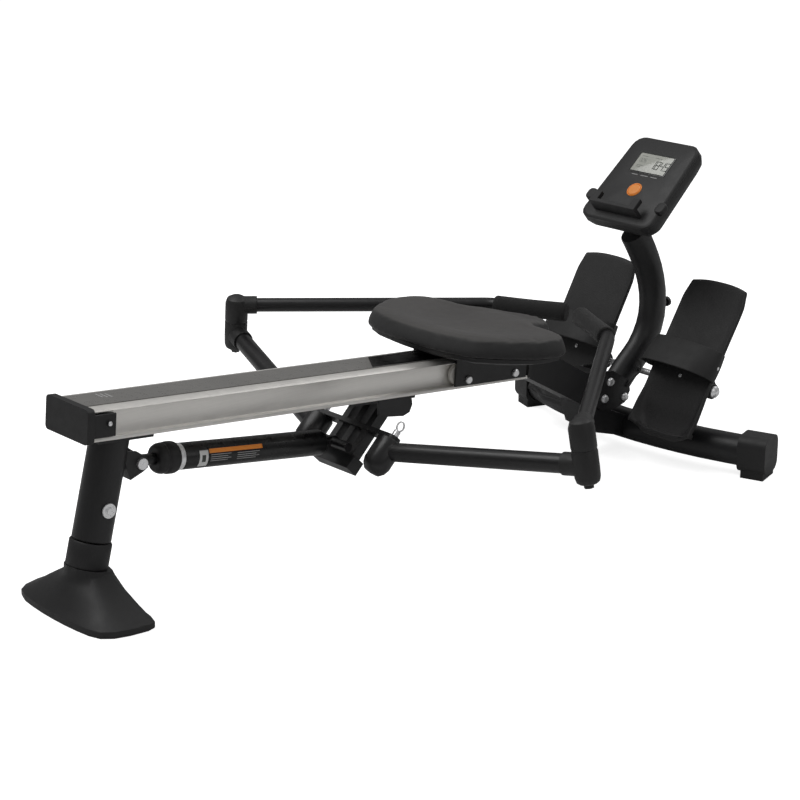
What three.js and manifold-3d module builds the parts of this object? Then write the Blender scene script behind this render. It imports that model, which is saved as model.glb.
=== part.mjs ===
// Rowing machine: inclined aluminium rail, rolling saddle, two folding oar arms on a central damper,
// tilting foot plates and a readout on a curved mast. Millimetres, +X to the rower's right,
// +Y from the rear foot towards the foot plates, +Z up, origin on the floor under the rear foot.
import * as THREE from "three";
import { mergeVertices } from "three/addons/utils/BufferGeometryUtils.js";
import Module from "manifold-3d";

const wasm = await Module();
wasm.setup();

// ---------------------------------------------------------------- driving dimensions
const GAP = 0.3;                 // clearance between touching pieces
const SLOPE = 5.29;              // rail falls this many degrees towards the front
const RAIL_Z = 302;              // height of the rail's centre line at its rear end
const RAIL_W = 98;               // rail width
const RAIL_H = 50;               // rail height
const RAIL_L = 886;              // rail length
const RAIL_CH = 19;              // half height of the side channel
const CAP_W = 112, CAP_H = 53;   // rear end cap
const SEAT_U = 792;              // saddle centre along the rail
const ROLLER_R = 18;             // seat roller radius
const LEG_R = 30;                // rear leg tube
const CYL_REAR = [0, 106, 213];   // damper rear pin
const CYL_FRONT = [0, 486, 159]; // damper front pin
const CYL_R = 21;                // damper body radius
const HUB_X = 88;                // oar pivots, either side of the rail
const HUB_P = [HUB_X, 526, 158]; // middle of the right pivot sleeve
const HUB_R = 23;                // pivot sleeve radius
const ARM_R = 15.5;              // upper arm tube radius
const ELBOW_LO = [444, 622, 177];// elbow axis, lower end
const ELBOW_HI = [427, 616, 284];// elbow axis, upper end
const ELBOW_R = 20.5;
const LIFT_L = [0, 5, 16.5];      // the left arm is carried a little higher
const FORE_R = 12.5;             // forearm tube radius
const GRIP_R = 17;               // foam grip radius
const GRIP_OUT = [144.5, 976, 271];
const GRIP_IN = [16, 1040, 271];
const STAB_Y = 1176, STAB_Z = 42, STAB_R = 28, STAB_X = 262; // front stabiliser tube
const AXLE = [0, 1200, 140];     // foot plate axle
const PEDAL_X0 = 62, PEDAL_X1 = 193;
const SWING_L = 2.6;               // the left plate rests a little further back
const FACE_TILT = 49;            // console face, degrees back from upright
const FACE_C = [0, 1201, 486];   // console face centre

// ---------------------------------------------------------------- helpers
const V = (a) => new THREE.Vector3(a[0], a[1], a[2]);
const mats = {};
function mat(key) {
  const t = {
    black: [0x17181a, 0.45, 0.25], satin: [0x202124, 0.35, 0.4], plastic: [0x151617, 0.6, 0.0],
    rubber: [0x101010, 0.85, 0.0], silver: [0xb9b6b0, 0.35, 0.9], chrome: [0xd8d8d8, 0.15, 1.0],
    steel: [0x9a9a9a, 0.3, 0.9], decal: [0x2d2e30, 0.5, 0.1], seat: [0x26231f, 0.75, 0.0],
    roller: [0xd9d6cc, 0.5, 0.0], lcd: [0x7d8a80, 0.25, 0.0], orange: [0xe8821e, 0.4, 0.0],
    foam: [0x141414, 0.9, 0.0],
  }[key];
  return mats[key] ??= new THREE.MeshStandardMaterial({ color: t[0], roughness: t[1], metalness: t[2] });
}
const root = new THREE.Group();
function add(name, geometry, key, parent = root) {
  const g = clean(geometry);
  const m = new THREE.Mesh(g, mat(key));
  m.name = name;
  parent.add(m);
  return m;
}
function clean(g) {
  const c = g.index ? g.toNonIndexed() : g.clone();
  for (const k of Object.keys(c.attributes)) if (k !== "position") c.deleteAttribute(k);
  const q = c.attributes.position.array;
  for (let i = 0; i < q.length; i++) q[i] = Math.round(q[i] * 1024) / 1024;
  const w = mergeVertices(c, 1e-3);
  const keep = [], ix = w.index.array;
  for (let i = 0; i < ix.length; i += 3)
    if (ix[i] !== ix[i + 1] && ix[i + 1] !== ix[i + 2] && ix[i] !== ix[i + 2]) keep.push(ix[i], ix[i + 1], ix[i + 2]);
  w.setIndex(keep);
  w.computeVertexNormals();
  return w;
}
function solid(g) {
  const w = clean(g);
  return new wasm.Manifold(new wasm.Mesh({
    numProp: 3, vertProperties: new Float32Array(w.attributes.position.array),
    triVerts: new Uint32Array(w.index.array),
  }));
}
function back(m) {
  const mesh = m.getMesh();
  const g = new THREE.BufferGeometry();
  const n = mesh.vertProperties.length / mesh.numProp;
  const p = new Float32Array(n * 3);
  for (let i = 0; i < n; i++) for (let k = 0; k < 3; k++) p[i * 3 + k] = mesh.vertProperties[i * mesh.numProp + k];
  g.setAttribute("position", new THREE.BufferAttribute(p, 3));
  g.setIndex(new THREE.BufferAttribute(new Uint32Array(mesh.triVerts), 1));
  return g;
}
const union = (...gs) => back(gs.map(solid).reduce((a, b) => a.add(b)).simplify(0.004));
const meet = (g, h, ...hs) => cut(back(solid(g).intersect(solid(h))), ...hs);
const cut = (g, ...hs) => back(hs.map(solid).reduce((a, b) => a.subtract(b), solid(g)).simplify(0.004));

function moved(g, x, y, z) { return g.clone().translate(x, y, z); }
function block(x0, x1, y0, y1, z0, z1) {
  return new THREE.BoxGeometry(x1 - x0, y1 - y0, z1 - z0).translate((x0 + x1) / 2, (y0 + y1) / 2, (z0 + z1) / 2);
}
function poly(pts) { return new THREE.Shape(pts.map((p) => new THREE.Vector2(p[0], p[1]))); }
// outline in (y, z), thick from x0 to x1
function sideplate(pts, x0, x1, seg = 6) {
  const s = pts instanceof THREE.Shape ? pts : poly(pts);
  const g = new THREE.ExtrudeGeometry(s, { depth: x1 - x0, bevelEnabled: false, curveSegments: seg });
  g.applyMatrix4(new THREE.Matrix4().makeBasis(V([0, 1, 0]), V([0, 0, 1]), V([1, 0, 0])));
  return g.translate(x0, 0, 0);
}
// outline in (x, z), long from y0 to y1
function profile(s, y0, y1, seg = 4) {
  const sh = s instanceof THREE.Shape ? s : poly(s);
  const g = new THREE.ExtrudeGeometry(sh, { depth: y1 - y0, bevelEnabled: false, curveSegments: seg });
  g.applyMatrix4(new THREE.Matrix4().makeBasis(V([1, 0, 0]), V([0, 0, 1]), V([0, -1, 0])));
  return g.translate(0, y1, 0);
}
function rounded(w, h, r, cx = 0, cy = 0) {
  const s = new THREE.Shape();
  const x0 = cx - w / 2, x1 = cx + w / 2, y0 = cy - h / 2, y1 = cy + h / 2;
  s.moveTo(x0 + r, y0); s.lineTo(x1 - r, y0); s.absarc(x1 - r, y0 + r, r, -Math.PI / 2, 0);
  s.lineTo(x1, y1 - r); s.absarc(x1 - r, y1 - r, r, 0, Math.PI / 2);
  s.lineTo(x0 + r, y1); s.absarc(x0 + r, y1 - r, r, Math.PI / 2, Math.PI);
  s.lineTo(x0, y0 + r); s.absarc(x0 + r, y0 + r, r, Math.PI, 1.5 * Math.PI);
  return s;
}
function along(g, p, dir) { // geometry built along +Z, sent to p and pointed along dir
  const q = new THREE.Quaternion().setFromUnitVectors(V([0, 0, 1]), V(dir).normalize());
  return g.clone().applyMatrix4(new THREE.Matrix4().makeRotationFromQuaternion(q)).translate(p[0], p[1], p[2]);
}
// turned piece, profile [radius, height] from the axis back to the axis
function turned(pts, p = [0, 0, 0], dir = [0, 0, 1], seg = 20) {
  const g = new THREE.LatheGeometry(pts.map((q) => new THREE.Vector2(q[0], q[1])), seg);
  g.applyMatrix4(new THREE.Matrix4().makeRotationX(Math.PI / 2));
  return along(g, p, dir);
}
function rod(r, a, b, seg = 16) {
  const d = V(b).sub(V(a));
  const L = d.length();
  return turned([[0, 0], [r, 0], [r, L], [0, L]], a, [d.x, d.y, d.z], seg);
}
function ring(ro, ri, p, dir, L, seg = 20) {
  return turned([[ri, 0], [ro, 0], [ro, L], [ri, L], [ri, 0]], p, dir, seg);
}
function sweep(pts, section, steps, tension = 0.5) {
  const c = new THREE.CatmullRomCurve3(pts.map(V), false, "catmullrom", tension);
  return new THREE.ExtrudeGeometry(section, { steps, extrudePath: c, curveSegments: 5 });
}
function circle(r, n = 12) {
  const a = [];
  for (let i = 0; i < n; i++) a.push([r * Math.cos(2 * Math.PI * i / n), r * Math.sin(2 * Math.PI * i / n)]);
  return poly(a);
}
function ellipse(a, b, n = 16) {
  const q = [];
  for (let i = 0; i < n; i++) q.push([a * Math.cos(2 * Math.PI * i / n), b * Math.sin(2 * Math.PI * i / n)]);
  return poly(q);
}
function loft(rings) { // rings of points in order, counter-clockwise seen from the last ring's side
  const n = rings[0].length, p = [], t = [];
  rings.forEach((r) => r.forEach((q) => p.push(...q)));
  for (let k = 0; k + 1 < rings.length; k++) for (let i = 0; i < n; i++) {
    const j = (i + 1) % n, a = k * n + i, b = k * n + j, c = a + n, d = b + n;
    t.push(a, b, d, a, d, c);
  }
  const mid = (r) => [0, 1, 2].map((k) => r.reduce((s, q) => s + q[k], 0) / n);
  const b0 = p.length / 3; p.push(...mid(rings[0]));
  const b1 = p.length / 3; p.push(...mid(rings[rings.length - 1]));
  const e = (rings.length - 1) * n;
  for (let i = 0; i < n; i++) { const j = (i + 1) % n; t.push(b0, j, i); t.push(b1, e + i, e + j); }
  const g = new THREE.BufferGeometry();
  g.setAttribute("position", new THREE.BufferAttribute(new Float32Array(p), 3));
  g.setIndex(t);
  return g;
}
function mirrored(g) {
  const w = clean(g);
  const p = w.attributes.position.array;
  for (let i = 0; i < p.length; i += 3) p[i] = -p[i];
  const ix = Array.from(w.index.array);
  for (let i = 0; i < ix.length; i += 3) [ix[i], ix[i + 1]] = [ix[i + 1], ix[i]];
  w.setIndex(ix);
  return w;
}
const lerp = (a, b, t) => a.map((v, i) => v + (b[i] - v) * t);
const unit = (a) => { const l = Math.hypot(...a); return a.map((v) => v / l); };
const plus = (a, d, s) => a.map((v, i) => v + d[i] * s);

// ---------------------------------------------------------------- rail group
const rail = new THREE.Group();
rail.position.set(0, 0, RAIL_Z);
rail.rotation.x = -SLOPE * Math.PI / 180;
root.add(rail);
const rc = Math.cos(SLOPE * Math.PI / 180), rs = Math.sin(SLOPE * Math.PI / 180);
const onRail = (x, u, v) => [x, u * rc + v * rs, RAIL_Z - u * rs + v * rc];

{ // rail: rounded top, deep side channels for the rollers, hollow core
  const w = RAIL_W / 2, h = RAIL_H / 2, c = RAIL_CH;
  const half = [[w - 14, h], [w - 7, h - 1], [w - 2, h - 3.5], [w, c + 1.5], [w - 0.6, c], [w - 10, c], [w - 11, c - 1.5],
    [w - 11, -c + 1.5], [w - 10, -c], [w - 0.6, -c], [w, -c - 1], [w, -h + 1], [w - 1, -h]];
  const pts = half.concat(half.slice().reverse().map((p) => [-p[0], p[1]]));
  const s = poly(pts);
  s.holes.push(new THREE.Path([[-33, -16.2], [33, -16.2], [33, 16.2], [-33, 16.2]].map((p) => new THREE.Vector2(p[0], p[1]))));
  add("rail", profile(s, 2.5, RAIL_L), "silver", rail);
}
add("rail_strip", block(-31, 31, 3, RAIL_L - 3, RAIL_H / 2 + GAP, RAIL_H / 2 + 1.1), "decal", rail);
add("rail_end_cap", profile(rounded(CAP_W, CAP_H, 7), -10, 2.2), "plastic", rail);
{ // end stops: block in the channel with a screw
  const mk = () => union(
    profile(rounded(10, 33, 2, 46, 0), 3, 40),
    profile(rounded(3.6, 35, 1.5, 52.2, 0), 3, 40),
    rod(4.2, [53, 28, 3], [57, 28, 3], 12));
  add("end_stop_R", mk(), "plastic", rail);
  add("end_stop_L", mirrored(mk()), "plastic", rail);
}

// ---------------------------------------------------------------- rear leg and foot
const LEG_DIR = unit([0, 49, 186]);
const legAt = (z) => [0, 12 + (z - 69) * 49 / 186, z];
{
  const plan = (s, cx, cy, z, e = 1) => {
    const half = [[0, -51], [30, -50.5], [60, -48.5], [88, -45], [108, -38], [121, -22], [128, 2], [131, 32], [127, 45], [106, 52], [74, 57], [38, 60], [0, 61]];
    const full = half.concat(half.slice(1, -1).reverse().map((p) => [-p[0], p[1]]));
    return full.map((p) => [cx + p[0] * s, cy + (p[1] * s) * e, z]);
  };
  const circ = (r, c, z) => plan(1, 0, 0, 0).map((p) => {
    const a = Math.atan2(p[1] - 2, p[0]);
    return [c[0] + r * Math.cos(a), c[1] + r * Math.sin(a), z];
  });
  const mix = (A, B, t) => A.map((p, i) => lerp(p, B[i], t));
  const base = plan(1, 0, 0, 0), top = circ(35, legAt(77), 77);
  const at = (t, z) => mix(base, top, t).map((p) => [p[0], p[1], z]);
  add("rear_foot", cut(loft([plan(0.985, 0, 0, 0), plan(1, 0, 0, 2), plan(1, 0, 0, 11), plan(0.95, 0, 0, 14), at(0.28, 24), at(0.52, 38), at(0.78, 52), at(0.97, 62), top]), rod(60, plus(legAt(69), LEG_DIR, -GAP), plus(legAt(69), LEG_DIR, 40), 16)), "plastic");
  const p0 = legAt(69), p1 = legAt(110);
  add("leg_sleeve", turned([[0, 0], [31.5, 0], [32.5, 1.5], [32.5, 38], [31, 40], [0, 40]], p0, LEG_DIR, 28), "plastic");
  const tube = rod(LEG_R, plus(p1, LEG_DIR, 0.3), legAt(264), 28);
  const flange = block(-42, 42, 20, 116, -RAIL_H / 2 - 6, -RAIL_H / 2 - GAP)
    .applyMatrix4(new THREE.Matrix4().makeRotationX(-SLOPE * Math.PI / 180)).translate(0, 0, RAIL_Z);
  add("rear_leg", union(tube, flange), "black");
  const b = plus(legAt(159), [1, 0, 0], LEG_R + GAP);
  add("leg_bolt", turned([[0, 0], [11.5, 0], [11.5, 2.5], [6, 2.5], [5.5, 6.5], [0, 7]], b, [1, 0, 0], 16), "chrome");
}

// ---------------------------------------------------------------- damper
const CD = unit(V(CYL_FRONT).sub(V(CYL_REAR)).toArray());
const cylAt = (s) => plus(CYL_REAR, CD, s);
{
  const z0 = CYL_REAR[2], y0 = CYL_REAR[1];
  // forked lug welded against the leg
  const cheek = (x0, x1) => sideplate([[y0 - 34, z0 + 26], [y0 - 6, z0 + 20], [y0 + 12, z0 + 6], [y0 + 12, z0 - 9], [y0 + 3, z0 - 14], [y0 - 20, z0 - 22]].map((p) => p), x0, x1);
  const web = sideplate([[y0 - 34, z0 + 26], [y0 - 20, z0 + 22.5], [y0 - 16, z0 - 20], [y0 - 20, z0 - 22]], -15, 15);
  const legHole = rod(LEG_R + GAP, legAt(150), legAt(268), 24);
  const pinHole = rod(5.3, [-20, y0, z0], [20, y0, z0], 16);
  const lug = cut(union(cheek(-16, -11), cheek(11, 16), web), legHole, pinHole);
  add("damper_lug", lug, "black");
  const h = (x) => [x, y0, z0];
  add("damper_pin", union(rod(5, h(-16.5), h(16.5), 16), rod(9, h(16.3), h(21.5), 12), rod(8, h(-21), h(-16.3), 6)), "chrome");
}
// body with its eye, on the pin
{
  const eye = rod(10, [-10.4, CYL_REAR[1], CYL_REAR[2]], [10.4, CYL_REAR[1], CYL_REAR[2]], 20);
  const neck = rod(9, cylAt(6), cylAt(76), 16);
  const hole = rod(5.4, [-20, CYL_REAR[1], CYL_REAR[2]], [20, CYL_REAR[1], CYL_REAR[2]], 16);
  const body = turned([[0, 71], [19.5, 71], [20.3, 72], [20.3, 79.5], [CYL_R - 0.8, 80], [CYL_R, 81.5], [CYL_R, 356], [CYL_R - 2, 360], [8.4, 360], [8.4, 130], [0, 130]], CYL_REAR, CD, 24);
  add("damper_body", cut(union(eye, neck, body), hole), "satin");
  add("damper_adjuster", turned([[9.4, 34], [18, 34], [21.5, 37], [23.6, 42], [24.2, 47], [23, 48.5], [23, 51], [24.8, 53], [25.2, 56], [25.2, 65], [24.2, 68.5], [22, 70.4], [9.4, 70.4], [9.4, 34]], CYL_REAR, CD, 24), "plastic");
  // rod sliding in the body, with a cross head towards the two oar hubs
  const L = 383;
  const head = rod(8, plus(cylAt(L), [1, 0, 0], -44), plus(cylAt(L), [1, 0, 0], 44), 16);
  const shank = rod(7.6, cylAt(150), cylAt(L), 16);
  const collar = rod(9, cylAt(L - 9), cylAt(L + 9), 16);
  add("damper_rod", union(shank, head, collar), "chrome");
}

// ---------------------------------------------------------------- oar hub bracket under the rail
const AX = unit([0, 1, 1]);           // pivot axis of both oars
const H0 = (s, x = HUB_X) => plus([x, HUB_P[1], HUB_P[2]], AX, s);
{
  const top = block(-45, 45, 500, 632, -RAIL_H / 2 - 5, -RAIL_H / 2 - GAP).applyMatrix4(new THREE.Matrix4().makeRotationX(-SLOPE * Math.PI / 180)).translate(0, 0, RAIL_Z);
  const web = (x0, x1) => sideplate([[548, 225], [618, 218.5], [620, 204], [614, 192], [600, 188], [566, 194], [548, 200]], x0, x1);
  const bar = (x) => { // inclined bars between the top plate and the cross block
    const g = new THREE.BoxGeometry(13, 20, 132);
    return along(g, plus([x, 545, 174], AX, -7), AX);
  };
  const blockLow = along(new THREE.BoxGeometry(92, 26, 24), plus([0, 545, 174], AX, -68), AX);
  const pivR = rod(10, H0(-26, HUB_X), H0(20, HUB_X), 16), pivL = rod(10, H0(-26, -HUB_X), H0(20, -HUB_X), 16);
  // carrying beams from the cross block to the upper ends of the pivots
  const ears = union(along(new THREE.BoxGeometry(2 * HUB_X, 24, 8), H0(20.8, 0), AX),
    rod(12.3, H0(16.8, HUB_X), H0(24.8, HUB_X), 24), rod(12.3, H0(16.8, -HUB_X), H0(24.8, -HUB_X), 24));
  add("oar_bracket", union(top, web(-46, -41), web(41, 46), bar(-30), bar(0), bar(30), blockLow, ears, pivR, pivL), "black");
}
// ---------------------------------------------------------------- oars
const E = unit(V(ELBOW_HI).sub(V(ELBOW_LO)).toArray());
const SPLIT = 52;
function oar(lift) { // a right-hand oar, its elbow moved by lift
  const ELBOW = plus(ELBOW_LO, lift, 1);
  const elbowAt = (s) => plus(ELBOW, E, s);
  const pieces = {};
  // hub sleeve with domed lower end, tube and socket stub
  const sleeve = turned([[10.4, -25], [10.4, 16.4], [HUB_R - 1.5, 16.4], [HUB_R, 14], [HUB_R, -27], [HUB_R - 3, -36], [HUB_R - 9, -43], [0, -46], [0, -28], [10.4, -28], [10.4, -25]].reverse(), HUB_P, AX, 24);
  const a0 = plus(HUB_P, AX, -4), a1 = elbowAt(27);
  const ad = unit(V(a1).sub(V(a0)).toArray());
  const La = V(a1).distanceTo(V(a0));
  const tube = rod(ARM_R, plus(a0, ad, HUB_R - 7), plus(a0, ad, La - ELBOW_R - 2), 20);
  pieces.oar_arm = [union(sleeve, tube), "satin"];
  const baseBody = turned([[0, -2], [14, -2], [18, 1], [20, 8], [ELBOW_R, 24], [ELBOW_R, SPLIT - 3], [ELBOW_R - 1, SPLIT - GAP], [0, SPLIT - GAP]], ELBOW, E, 24);
  const socket = rod(18.2, plus(a0, ad, La - 38), plus(a0, ad, La - 4), 20);
  const tubeHole = rod(ARM_R + GAP, plus(a0, ad, La - 60), plus(a0, ad, La - ELBOW_R - 2 + GAP), 20);
  const nut = rod(8, plus(ELBOW, E, -9), plus(ELBOW, E, -1), 6);
  pieces.elbow_base = [union(cut(union(baseBody, socket), tubeHole), nut), "plastic"];
  // upper half of the elbow turns with the forearm
  const f0 = elbowAt(82), f1 = GRIP_OUT;
  const fd = unit(V(f1).sub(V(f0)).toArray());
  const headBody = turned([[0, SPLIT], [ELBOW_R - 1, SPLIT], [ELBOW_R, SPLIT + 3], [ELBOW_R, 86], [17.5, 95], [10, 99.5], [0, 100.5]], ELBOW, E, 24);
  const fsock = rod(16, plus(f0, fd, 5), plus(f0, fd, 36), 20);
  const fhole = rod(FORE_R + GAP, plus(f0, fd, 17), plus(f0, fd, 60), 18);
  pieces.elbow_head = [cut(union(headBody, fsock), fhole), "plastic"];
  const gd = unit(V(GRIP_IN).sub(V(GRIP_OUT)).toArray());
  const t0 = plus(f0, fd, 17 + GAP), t2 = plus(GRIP_OUT, fd, -14), t3 = plus(GRIP_OUT, gd, 14), t4 = plus(GRIP_IN, gd, -6);
  const bent = (w) => lerp(lerp(t2, GRIP_OUT, w), lerp(GRIP_OUT, t3, w), w);
  const stations = [[t0, fd], [lerp(t0, t2, 0.5), fd], [t2, fd], ...[0.25, 0.5, 0.75].map((w) => [bent(w), unit(lerp(fd, gd, w))]), [t3, gd], [lerp(t3, t4, 0.5), gd], [t4, gd]];
  const fore = loft(stations.map(([p, t]) => {
    const side = unit([t[1], -t[0], 0]), lift = new THREE.Vector3().crossVectors(V(side), V(t)).toArray();
    return Array.from({ length: 18 }, (_, k) => {
      const a = -2 * Math.PI * k / 18;
      return plus(plus(p, side, FORE_R * Math.cos(a)), lift, FORE_R * Math.sin(a));
    });
  }));
  pieces.oar_forearm = [fore, "satin"];
  const g0 = plus(GRIP_OUT, gd, 14.5), gl = V(GRIP_IN).distanceTo(V(g0));
  const grip = turned([[0, gl], [GRIP_R - 4, gl], [GRIP_R - 1, gl - 2], [GRIP_R, gl - 6], [GRIP_R, 3], [GRIP_R - 2, 0], [FORE_R + GAP + 0.2, 0], [FORE_R + GAP + 0.2, gl - 5], [0, gl - 5]].reverse(), g0, gd, 20);
  pieces.oar_grip = [grip, "foam"];
  return pieces;
}
for (const [n, [g, k]] of Object.entries(oar([0, 0, 0]))) add(n + "_R", g, k);
for (const [n, [g, k]] of Object.entries(oar(LIFT_L))) add(n + "_L", mirrored(g), k);

// spring plungers that lock the oar pivots, with a pull ring
{
  const c = plus(H0(24.8), AX, GAP);
  const knob = union(
    turned([[0, 0], [6, 0], [6, 10], [4.5, 12], [0, 12]], c, AX, 12),
    ring(9, 6.8, plus(plus(c, AX, 19.5), [-1, 0, 0], 1.1), [1, 0, 0], 2.2, 14));
  add("pivot_plunger_R", knob, "chrome");
  add("pivot_plunger_L", mirrored(knob), "chrome");
}

// ---------------------------------------------------------------- front frame
const BOLTS = [[1108, 139], [1094, 110], [1147, 103]];
const boltHoles = BOLTS.map((b) => rod(4.3, [-60, b[0], b[1]], [60, b[0], b[1]], 14));
{
  const outline = [[891, 238], [887, 197], [1036, 112], [1052, 66], [1080, 48], [1160, 24], [1160, 64], [1118, 82], [1108.5, 97],
    [1108.5, 150], [1090, 160], [1050, 166], [926, 241]];
  const endPlate = profile(rounded(RAIL_W + 2, RAIL_H, 6), RAIL_L + GAP, RAIL_L + 8, 2)
    .applyMatrix4(new THREE.Matrix4().makeRotationX(-SLOPE * Math.PI / 180)).translate(0, 0, RAIL_Z);
  add("front_beam", cut(union(endPlate, sideplate(outline, -25, 25)), rod(STAB_R + GAP, [-40, STAB_Y, STAB_Z], [40, STAB_Y, STAB_Z], 28), boltHoles[0], boltHoles[1]), "black");
  const plate = [[1070, 120], [1078, 148], [1096, 160], [1116, 158], [1158, 132], [1162, 112], [1150, 92], [1118, 84], [1086, 90], [1074, 100]];
  const mk = () => cut(sideplate(plate, 25.3, 29.3), ...boltHoles);
  add("front_bracket_R", mk(), "black");
  add("front_bracket_L", mirrored(mk()), "black");
  const bolt = (b) => union(rod(4, [-36, b[0], b[1]], [31, b[0], b[1]], 12), turned([[0, 0], [8, 0], [8, 2], [6, 5], [0, 6.5]], [29.6, b[0], b[1]], [1, 0, 0], 14), rod(7, [-35, b[0], b[1]], [-29.6, b[0], b[1]], 6));
  add("front_bolt_upper", bolt(BOLTS[0]), "chrome");
  add("front_bolt_lower", bolt(BOLTS[1]), "chrome");
  add("mast_bolt", bolt(BOLTS[2]), "chrome");
  const bowY = (x) => STAB_Y + 0.00065 * x * x;
  const bow = [-1, -0.66, -0.33, 0, 0.33, 0.66, 1].map((t) => [t * STAB_X, bowY(t * STAB_X), STAB_Z]);
  add("stabiliser_tube", sweep(bow, circle(STAB_R, 24), 12, 0.5), "black");
  const capAt = (g) => g.applyMatrix4(new THREE.Matrix4().makeRotationZ(Math.atan(0.0013 * STAB_X))).translate(STAB_X, bowY(STAB_X), 0);
  const bore = sweep(bow.map((p, i) => (i === 0 || i === 6 ? [p[0] * 1.004, bowY(p[0] * 1.004), p[2]] : p)), circle(STAB_R + 1.5, 24), 12, 0.5);
  const cap = cut(capAt(cut(
    union(sideplate(rounded(64, 66, 18, 0, STAB_Z + 1), -10, 42, 3), block(-4, 38, -26, 26, 0, 20)),
    rod(STAB_R - 4, [-20, 0, STAB_Z], [GAP + 0.6, 0, STAB_Z], 24))), bore);
  add("stabiliser_cap_R", cap, "rubber");
  add("stabiliser_cap_L", mirrored(cap), "rubber");
}

// ---------------------------------------------------------------- mast and console
const mastPts = [[0, 1136, 100], [0, 1178, 142], [0, 1218, 178], [0, 1242, 222], [0, 1246, 268], [0, 1235, 315], [0, 1213, 360], [0, 1190, 396]];
{
  const m = sweep(mastPts, ellipse(22, 28, 18), 16, 0.5);
  add("mast", cut(m, boltHoles[2], rod(6.5, [-60, AXLE[1], AXLE[2]], [60, AXLE[1], AXLE[2]], 14)), "black");
  add("mast_knob", turned([[0, 0], [5, 0], [5, 6], [9, 7], [9, 13], [7, 15], [0, 15]], [0, 1275, 250], [0, 1, 0.12], 12), "plastic");
}
const console_ = new THREE.Group();
console_.position.set(...FACE_C);
console_.rotation.x = Math.PI / 2 - (90 - 90 + FACE_TILT) * Math.PI / 180;
root.add(console_);
{
  const outline = (k, z) => { // rounded trapezoid, counter-clockwise seen from the face
    const pts = [];
    const c = [[-63, 77, 22, 90], [-65, -71, 22, 180], [65, -71, 22, 270], [63, 77, 22, 0]];
    const w = [55, 62, 62, 55];
    c.forEach(([x, y, r, a], i) => {
      const cx = Math.sign(x) * w[i];
      for (let j = 0; j <= 4; j++) { const t = (a + j * 22.5) * Math.PI / 180; pts.push([(cx + r * Math.cos(t)) * k, (y + r * Math.sin(t)) * k, z]); }
    });
    return pts;
  };
  const backShell = loft([outline(0.62, -43.6), outline(0.86, -39.6), outline(0.96, -30), outline(1, -18), outline(1, -8)]);
  const q = new THREE.Matrix4().makeRotationX(-console_.rotation.x).multiply(new THREE.Matrix4().makeTranslation(-FACE_C[0], -FACE_C[1], -FACE_C[2]));
  const mastCut = sweep(mastPts, ellipse(22.4, 28.4, 18), 16, 0.5).applyMatrix4(q);
  add("console_back", cut(backShell, mastCut), "plastic", console_);
  const face = loft([outline(1, -8 + GAP), outline(1, -3), outline(0.97, -0.8), outline(0.94, 0)]);
  add("console_face", cut(face, moved(new THREE.BoxGeometry(80, 35, 5), 0, 38, 0.5), rod(13, [0, -18.5, -6], [0, -18.5, 3], 20)), "satin", console_);
  add("console_display", moved(new THREE.BoxGeometry(79.2, 34.2, 1.8), 0, 38, -0.7), "lcd", console_);
  add("console_button", turned([[0, -3.6], [12.3, -3.6], [12.3, 0.6], [11.3, 1.8], [0, 2.4]], [0, -18.5, 0], [0, 0, 1], 20), "orange", console_);
  const tray = union(block(-54, 54, -76, -69, GAP, 26), block(-54, -38, -74, -52, 18, 26), block(38, 54, -74, -52, 18, 26));
  add("phone_tray", tray, "plastic", console_);
}
{ // sensor lead from the mast to the bracket
  const c = new THREE.CatmullRomCurve3([[24.6, 1186, 166], [31, 1186, 158], [35, 1180, 146], [34.5, 1168, 138], [32, 1156, 128], [31.5, 1150, 121]].map(V));
  add("sensor_cable", new THREE.ExtrudeGeometry(circle(1.7, 8), { steps: 14, extrudePath: c }), "rubber");
}

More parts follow.
